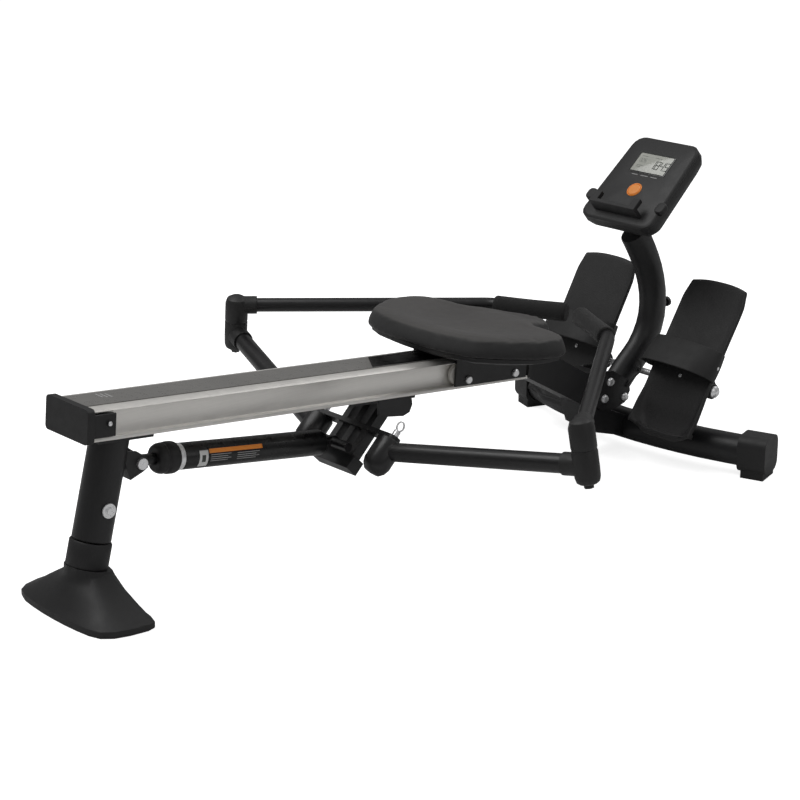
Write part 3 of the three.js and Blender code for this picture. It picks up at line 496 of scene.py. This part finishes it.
def round_rect(w, h, r, cx=0.0, cy=0.0, seg=5):
    pts = []
    for sx, sy, a0 in ((1, -1, -90), (1, 1, 0), (-1, 1, 90), (-1, -1, 180)):
        for k in range(seg + 1):
            a = math.radians(a0 + 90 * k / seg)
            pts.append((cx + sx * (w / 2 - r) + r * math.cos(a), cy + sy * (h / 2 - r) + r * math.sin(a)))
    return pts


# ------------------------------------------------------------------ saddle cushion
HALF = [(0, -137), (45, -135.5), (90, -128), (129, -110.5), (151, -85), (169, -56), (182, -25), (184.5, 5), (179, 32), (160, 49), (124, 57.5),
        (92, 61.5), (73, 72), (62, 92), (54, 112), (42, 133), (22, 147), (0, 151)]
outline = [Vector((x, y, 0)) for x, y in HALF] + [Vector((-x, y, 0)) for x, y in HALF[-2:0:-1]]
ring0 = catmull(outline, 5, closed=True)
NR = len(ring0)


def out_normals(r):
    n = len(r)
    res = []
    for i in range(n):
        t = (r[(i + 2) % n] - r[(i - 2) % n]).normalized()
        res.append(Vector((t.y, -t.x, 0)))
    return res


NRM = out_normals(ring0)
if sum(a.dot(b) for a, b in zip(NRM, ring0)) < 0:
    NRM = [-v for v in NRM]


def smooth01(t):
    t = max(0.0, min(1.0, t))
    return t * t * (3 - 2 * t)


def crease(x, y):
    """Height of the cushion's top edge above the rail's centre line, in rail millimetres."""
    v = 78.6 + 1.6 * smooth01(abs(x) / 180)
    v -= 11.0 * smooth01((y - 62) / 95)
    v += 1.0 * smooth01((-y - 90) / 50)
    return v


def dish(x, y):
    a = math.exp(-((x / 128) ** 2)) * math.exp(-(((y + 22) / 74) ** 2))
    lob = math.exp(-(((abs(x) - 62) / 60) ** 2)) * math.exp(-(((y + 30) / 60) ** 2))
    return -6.0 * a - 3.5 * lob


def cushion_mesh():
    rows = []
    for off, v in ((-14, 50.4), (3, 50.4), (8.0, 51.6), (9.2, 54.5), (8.4, 60), (6.4, 66), (4.0, 71.5), (2.0, 75.6)):
        rows.append([Vector((p.x + n.x * off, p.y + n.y * off, v - 0.35 * max(0, 80 - crease(p.x, p.y)) * (v - 50.4) / 25)) for p, n in zip(ring0, NRM)])
    for off, dv in ((0.9, -1.4), (-0.6, -0.1), (-3.4, 0.8), (-9.0, 1.2), (-16.0, 1.1)):
        rows.append([Vector((p.x + n.x * off, p.y + n.y * off, crease(p.x, p.y) + dv)) for p, n in zip(ring0, NRM)])
    last = rows[-1]
    c = Vector((0, 22, 0))
    for k in (0.93, 0.85, 0.76, 0.66, 0.55, 0.44, 0.33, 0.22, 0.12, 0.05):
        row = []
        for p in last:
            q = Vector((c.x + (p.x - c.x) * k, c.y + (p.y - c.y) * k, 0))
            e = smooth01((1 - k) / 0.5)
            v = (p.z * (1 - e) + (crease(q.x, q.y) + 1.2) * e) + dish(q.x, q.y) * smooth01((1 - k) / 0.32)
            row.append(Vector((q.x, q.y, v)))
        rows.append(row)
    verts = [q for r in rows for q in r]
    faces = []
    for i in range(len(rows) - 1):
        for k in range(NR):
            j = (k + 1) % NR
            faces.append((i * NR + k, i * NR + j, (i + 1) * NR + j, (i + 1) * NR + k))
    top = len(verts)
    verts.append(Vector((0, 22, crease(0, 22) + 1.2 + dish(0, 22))))
    e = (len(rows) - 1) * NR
    for k in range(NR):
        faces.append((e + k, e + (k + 1) % NR, top))
    bot = len(verts)
    verts.append(Vector((0, 0, 50.4)))
    for k in range(NR):
        faces.append(((k + 1) % NR, k, bot))
    to_mm = lambda p: RAIL @ Vector((p.x * MM, (p.y + 792) * MM, p.z * MM))
    return [to_mm(v) for v in verts], faces


cv, cf = cushion_mesh()
cushion = make("saddle_cushion", cv, cf, "seat", "saddle")
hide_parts("seat_pad")


def puff(o, cap, voxel=0.004, frames=20, pressure=4.0):
    """Short cloth run that lets the padded skin swell evenly, applied to the mesh with a cap on how far a point goes."""
    bpy.context.view_layer.objects.active = o
    for q in bpy.context.selected_objects:
        q.select_set(False)
    o.select_set(True)
    rm = o.modifiers.new("remesh", "REMESH")
    rm.mode, rm.voxel_size = "VOXEL", voxel
    bpy.ops.object.modifier_apply(modifier=rm.name)
    start = [v.co.copy() for v in o.data.vertices]
    cl = o.modifiers.new("cloth", "CLOTH")
    st = cl.settings
    st.quality = 5
    st.use_pressure = True
    st.uniform_pressure_force = pressure
    st.effector_weights.gravity = 0
    cl.point_cache.frame_start, cl.point_cache.frame_end = 1, frames
    for f in range(1, frames + 1):
        scene.frame_set(f)
    dg = bpy.context.evaluated_depsgraph_get()
    ev = o.evaluated_get(dg)
    got = [v.co.copy() for v in ev.data.vertices]
    o.modifiers.remove(cl)
    scene.frame_set(1)
    floor_v = 0.0506
    inv = RAIL.inverted()
    for v, a, b in zip(o.data.vertices, start, got):
        d = b - a
        if d.length > cap:
            d = d.normalized() * cap
        p = a + d
        q = inv @ p
        if q.z < floor_v:
            q.z = floor_v
            p = RAIL @ q
        v.co = p
    o.data.update()
    o.data.polygons.foreach_set("use_smooth", [True] * len(o.data.polygons))


puff(cushion, 0.0016)
subsurf(cushion, 1)

# ------------------------------------------------------------------ foot plates
SWING = Matrix.Translation((0, 1.2, 0.14)) @ Matrix.Rotation(math.radians(2.6), 4, "X") @ Matrix.Translation((0, -1.2, -0.14))
MIRROR = Matrix.Scale(-1, 4, (1, 0, 0))
SIDE = {"R": Matrix.Identity(4), "L": SWING @ MIRROR}
PD = Vector((0, 96.5, 152)).normalized()
PN = Vector((0, -PD.z, PD.y))
PW, PCX = 65.5, 127.5
PW2, PCX2 = 69.0, 129.6


def pedal_mesh():
    """Mid line of the plate from its top edge to the heel lip, each with a normal; walls rise at both sides towards the heel."""
    line = [(1284.5, 313), (1258, 269.5), (1232, 228.5), (1206, 187.5), (1181.3, 147.5), (1170, 124), (1161, 104), (1153.5, 83.5), (1146.5, 69.5), (1139, 59.5), (1131, 58), (1125.5, 63), (1124.5, 70)]
    pts = [Vector((0, y, z)) for y, z in line]
    pts = catmull(pts, 4)
    nrm = []
    for i, p in enumerate(pts):
        t = (pts[min(i + 1, len(pts) - 1)] - pts[max(i - 1, 0)]).normalized()
        nrm.append(Vector((0, t.z, -t.y)))
    if nrm[0].dot(PN) < 0:
        nrm = [-v for v in nrm]
    total = len(pts) - 1
    rows = []
    cols = [-1, -0.985, -0.95, -0.88, -0.78, -0.64, -0.48, -0.32, -0.16, 0, 0.16, 0.32, 0.48, 0.64, 0.78, 0.88, 0.95, 0.985, 1]
    for i, (p, n) in enumerate(zip(pts, nrm)):
        s = i / total
        if s < 0.08:
            hw = PW2 - 7 * (1 - smooth01(s / 0.07))
        else:
            hw = PW2
        heel = smooth01((s - 0.33) / 0.35)
        hw += 3.5 * smooth01((s - 0.36) / 0.2) * (1 - 0.9 * smooth01((s - 0.72) / 0.28))
        row = []
        for c in cols:
            e = 0.86 - 0.44 * smooth01((s - 0.45) / 0.45)
            wall = smooth01((abs(c) - e) / (1 - e + 1e-6))
            h = (1.2 + 14.5 * heel) * wall
            if s < 0.3:
                h = 1.2 * wall
            bow = 0.0
            if i <= 2:
                bow = -7.5 * (abs(c) ** 2.6) * (1 - i / 3)
            q = p + n * h
            q = Vector((PCX2 + hw * c, q.y, q.z)) + Vector((0, PD.y, PD.z)) * bow
            row.append(q * MM)
        rows.append(row)
    return rows


for sd in ("R", "L"):
    o = grid_sheet("pedal_" + sd, pedal_mesh(), "plate", "foot_" + sd, 0.0076, matrix=SIDE[sd])
    o.modifiers["thick"].offset = 0
    subsurf(o, 2)
    # boss under the plate that carries the axle
    hub = lathe("pedal_boss_" + sd, [(0.0066, 0.0), (0.0125, 0.0), (0.0142, 0.0016), (0.0142, 0.1294), (0.0125, 0.131), (0.0066, 0.131)],
                SIDE[sd] @ Vector((0.062, 1.2, 0.14)), (SIDE[sd].to_3x3() @ Vector((1, 0, 0))), "plate", "foot_" + sd)
    rib = []
    for x0 in (66.5, 96, 127.5, 159, 188.5):
        rib.append(x0)
    verts, faces = [], []
    for x0 in rib:
        b = len(verts)
        prof = [(1181.5, 139), (1189, 133), (1199, 127.5), (1211, 133), (1213, 144), (1206, 158), (1197, 166), (1188, 150)]
        for dx in (-1.6, 1.6):
            verts += [Vector((x0 + dx, y, z)) * MM for y, z in prof]
        k = len(prof)
        faces += [tuple(b + j for j in range(k)), tuple(b + k + j for j in range(k - 1, -1, -1))]
        faces += [(b + j, b + (j + 1) % k, b + k + (j + 1) % k, b + k + j) for j in range(k)]
    r = make("pedal_ribs_" + sd, verts, faces, "plate", "foot_" + sd, matrix=SIDE[sd])
    bevel(r, 0.0006, 2, 40)
    split(r, 40)
    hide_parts("foot_plate_" + sd)

# ------------------------------------------------------------------ straps
def arch(h, side, b):
    r = [(PW + 3.6, -7.5), (PW + side - 2, 3), (PW + side, b * 0.26), (PW + side - 4, b * 0.52), (PW - 10, h - 9), (PW - 32, h - 2.2), (0, h)]
    full = [(-x, y) for x, y in r] + [(x, y) for x, y in r[-2::-1]]
    return catmull([Vector((x, y, 0)) for x, y in full], 6)


def strap_rows():
    a, b = arch(40, 9, 38), arch(58, 12, 62)
    rows = []
    for k in range(13):
        t = k / 12
        bulge = 1.6 * math.sin(math.pi * t)
        row = []
        for p, q in zip(a, b):
            x, y = p.x + (q.x - p.x) * t, p.y + (q.y - p.y) * t
            rad = Vector((x, y)).normalized() * bulge
            o = Vector((PCX + x + rad.x, 1180.5, 148)) + PD * (68 - 54 * t) + PN * (y + rad.y)
            row.append(o * MM)
        rows.append(row)
    return rows


for sd in ("R", "L"):
    o = grid_sheet("toe_strap_" + sd, strap_rows(), "rubber", "foot_" + sd, 0.0034, matrix=SIDE[sd])
    o.modifiers["thick"].offset = -1
    bevel(o, 0.0008, 2, 50)
    subsurf(o, 1)
    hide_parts("foot_strap_" + sd)
    for q, tag in ((1, "a"), (-1, "b")):
        base = Vector((PCX + q * (PW + 9.6), 1180.5, 148)) * MM + PD * 0.040 + PN * 0.008
        lathe("strap_rivet_%s_%s" % (tag, sd), [(0, 0.0026), (0.0022, 0.0024), (0.0040, 0.0014), (0.0044, 0.0), (0.0044, -0.002), (0, -0.002)],
              SIDE[sd] @ base, SIDE[sd].to_3x3() @ Vector((q, 0, 0)), "chrome", "foot_" + sd, seg=24)
    base = Vector((PCX + 0.6, 1180.5, 148)) * MM + PD * 0.0105 + PN * 0.0026
    lathe("plate_screw_" + sd, [(0, 0.0018), (0.0020, 0.0017), (0.0034, 0.0009), (0.0037, 0.0), (0.0037, -0.002), (0, -0.002)],
          SIDE[sd] @ base, SIDE[sd].to_3x3() @ PN, "chrome", "foot_" + sd, seg=24)

# ------------------------------------------------------------------ grips
GO, GI = Vector((144.5, 976, 271)), Vector((16, 1040, 271))
GD = (GI - GO).normalized()
for sd in ("R", "L"):
    mm_ = MIRROR if sd == "L" else Matrix.Identity(4)
    L = (GI - GO).length * MM
    prof = [(0.0120, 0.0085), (0.0150, 0.0088), (0.0166, 0.0102), (0.0171, 0.0125)]
    n = 26
    for k in range(1, n):
        h = 0.0125 + (L - 0.0125 - 0.006) * k / n
        prof.append((0.0171 - 0.0007 * math.sin(math.pi * k / n) + 0.00010 * (k % 2), h))
    prof += [(0.0170, L - 0.005), (0.0162, L - 0.0018), (0.0142, L - 0.0004), (0.0, L)]
    g = lathe("grip_foam_" + sd, prof, mm_ @ (GO * MM), mm_.to_3x3() @ GD, "foam", "forearm_" + sd, seg=56, closed=False)
    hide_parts("oar_grip_" + sd)

# ------------------------------------------------------------------ damper details
def on_cyl(s, deg, r):
    a = math.radians(deg)
    return CYL_A + CYL_D * (s * MM) + (Vector((1, 0, 0)) * math.cos(a) + CYL_U * math.sin(a)) * (r * MM)


def cyl_patch(name, s0, s1, d0, d1, mat, r=21.05, body="damper", na=14, ns=6, skew=0.0):
    rows = [[on_cyl(s0 + (s1 - s0) * i / ns + skew * (k / na), d0 + (d1 - d0) * k / na, r) for k in range(na + 1)] for i in range(ns + 1)]
    o = grid_sheet(name, rows, mat, body, 0.00022)
    o.modifiers["thick"].offset = 0
    return o


lathe("damper_ring", [(0.0204, 0.0713), (0.0210, 0.0718), (0.0213, 0.0732), (0.0213, 0.0780), (0.0210, 0.0793), (0.0204, 0.0797)],
      CYL_A, CYL_D, "chrome", "damper", seg=64)
cyl_patch("damper_label", 104.8, 121.3, -42, 33, "label")
cyl_patch("damper_stripe", 123.3, 226.3, 17.8, 36.6, "label_orange", ns=24)
for j, (s0, s1) in enumerate(((126, 165), (177, 220))):
    for i in range(4):
        d = 11.5 - 9.0 * i - 2 * j
        cyl_patch("damper_print_%d_%d" % (j, i), s0, s1 - (6 * (i % 2)), d, d - 2.6, "print", ns=12, na=3)
cyl_patch("label_mark", 109.5, 116.5, -18, 12, "dark_print", r=21.16, na=8)

# ------------------------------------------------------------------ rail details
inlay = [(-28.5, 588.5), (28.5, 549.0), (28.5, 704), (-28.5, 704)]
prism("strip_inlay", inlay, 26.15, 26.36, "gloss", "frame", RAIL, width=0.00008, segments=1)
for i, dy in enumerate((0.0, 7.0, 14.0)):
    prism("strip_mark_%d" % i, [(-22 + 2 * i, 52 + dy), (-2 + 2 * i, 52 + dy), (-2 + 2 * i, 54.2 + dy), (-22 + 2 * i, 54.2 + dy)], 26.12, 26.26, "print", "frame", RAIL, width=0.00004, segments=1)
for sx, tag in ((1, "R"), (-1, "L")):
    lathe("stop_screw_" + tag, [(0, 0.0019), (0.0019, 0.0017), (0.0032, 0.0009), (0.0036, -0.0006), (0, -0.0006)],
          rail_pt(sx * 57.1, 28, 3), (sx, 0, 0), "chrome", "frame", seg=28)

# ------------------------------------------------------------------ console details
ring_prof = [(0.0124, 0.0002), (0.0128, 0.0012), (0.0138, 0.0014), (0.0146, 0.0007), (0.0148, 0.0001), (0.0124, 0.0001)]
lathe("button_ring", ring_prof, con_pt(0, -18.5, 0), TILT.to_3x3() @ Vector((0, 0, 1)), "label_orange", "frame", seg=56)
glass = prism("lcd_glass", round_rect(80.5, 42.5, 1.6, 0, 42), 0.05, 0.55, "lcd", "frame", TILT, width=0.00012, segments=2)
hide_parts("console_display")
outer = round_rect(84.5, 46.6, 3.2, 0, 42)
inner = round_rect(78.6, 40.6, 1.4, 0, 42)
n = len(outer)
zs = [(outer, 0.03), (outer, 0.8), (inner, 1.0), (inner, 0.6)]
verts = [Vector((x * MM, y * MM, z * MM)) for ring, z in zs for x, y in ring]
faces = [(r * n + k, r * n + (k + 1) % n, ((r + 1) % 4) * n + (k + 1) % n, ((r + 1) % 4) * n + k) for r in range(4) for k in range(n)]
bz = make("lcd_bezel", verts, faces, "gloss", "frame", matrix=TILT)
bevel(bz, 0.00025, 2, 30)
split(bz, 40)

SEG = {"0": "abcdef", "1": "bc", "2": "abged", "3": "abgcd", "4": "fgbc", "5": "afgcd", "6": "afgedc", "7": "abc", "8": "abcdefg", "9": "abcdfg"}


def digit(ch, x, y, h):
    w, t = h * 0.5, h * 0.10
    bars = {"a": (x, y + h - t, x + w, y + h), "g": (x, y + h / 2 - t / 2, x + w, y + h / 2 + t / 2), "d": (x, y, x + w, y + t),
            "f": (x, y + h / 2, x + t, y + h), "b": (x + w - t, y + h / 2, x + w, y + h), "e": (x, y, x + t, y + h / 2), "c": (x + w - t, y, x + w, y + h / 2)}
    return [bars[k] for k in SEG[ch]]


quads = []
x = -2.0
for ch in "1845":
    quads += digit(ch, x, 31.0, 19)
    x += 10.6
x = -33.0
for ch in "026":
    quads += digit(ch, x, 42.5, 8.5)
    x += 5.6
quads += [(-33, 34.5, -17, 35.4), (-33, 31.0, -22, 31.9), (-33, 55.6, -19, 56.5), (-2, 55.6, 14, 56.5)]
verts, faces = [], []
for x0, y0, x1, y1 in quads:
    b = len(verts)
    e = 0.18
    verts += [Vector((p[0] * MM, p[1] * MM, z * MM)) for z in (0.57, 0.69) for p in ((x0 + e, y0 + e), (x1 - e, y0 + e), (x1 - e, y1 - e), (x0 + e, y1 - e))]
    faces += [(b, b + 3, b + 2, b + 1), (b + 4, b + 5, b + 6, b + 7)] + [(b + i, b + (i + 1) % 4, b + 4 + (i + 1) % 4, b + 4 + i) for i in range(4)]
make("lcd_digits", verts, faces, "dark_print", "frame", smooth=False, matrix=TILT)

for i, (x0, x1) in enumerate(((-30, -16), (-9, 8), (15, 30))):
    prism("key_mark_%d" % i, [(x0, 13.6), (x1, 13.6), (x1, 14.8), (x0, 14.8)], 0.02, 0.16, "print", "frame", TILT, width=0.00004, segments=1)
# side grips of the phone holder
for sx, tag in ((1, "R"), (-1, "L")):
    pts = round_rect(20, 23, 8.5, sx * 83, -46, seg=6)
    if sx < 0:
        pts = [(x, y) for x, y in pts]
    prism("holder_tab_" + tag, pts, -7.5, 4.5, "plastic", "frame", TILT, width=0.0026, segments=4)

# ------------------------------------------------------------------ floor
def floor_material():
    """Pale studio floor; what it throws back on the object is kept low, as in a tent with a large pale sweep."""
    mt, t, b = nodes_of("studio_floor")
    tc = t.nodes.new("ShaderNodeTexCoord")
    n = noise(t, tc.outputs["Object"], 3.0, 2, 0.5)
    t.links.new(mix_colour(t, ramp_to(t, n, 0, 1), (0.84, 0.84, 0.84), (0.86, 0.86, 0.86)), b.inputs["Base Color"])
    b.inputs["Roughness"].default_value = 0.9
    b.inputs["Specular IOR Level"].default_value = 0.1
    b.inputs["Emission Color"].default_value = (1, 1, 1, 1)
    b.inputs["Emission Strength"].default_value = 0.80
    dim = t.nodes.new("ShaderNodeBsdfDiffuse")
    dim.inputs["Color"].default_value = (0.66, 0.66, 0.66, 1)
    lp = t.nodes.new("ShaderNodeLightPath")
    mx = t.nodes.new("ShaderNodeMixShader")
    t.links.new(lp.outputs["Is Camera Ray"], mx.inputs[0])
    t.links.new(dim.outputs[0], mx.inputs[1])
    t.links.new(b.outputs[0], mx.inputs[2])
    out = next(q for q in t.nodes if q.type == "OUTPUT_MATERIAL")
    t.links.new(mx.outputs[0], out.inputs[0])
    return mt


me = bpy.data.meshes.new("floor")
F = 60
me.from_pydata([(-F, -F, 0), (F, -F, 0), (F, F, 0), (-F, F, 0)], [], [(0, 1, 2, 3)])
me.materials.append(floor_material())
floor = bpy.data.objects.new("floor", me)
scene.collection.objects.link(floor)

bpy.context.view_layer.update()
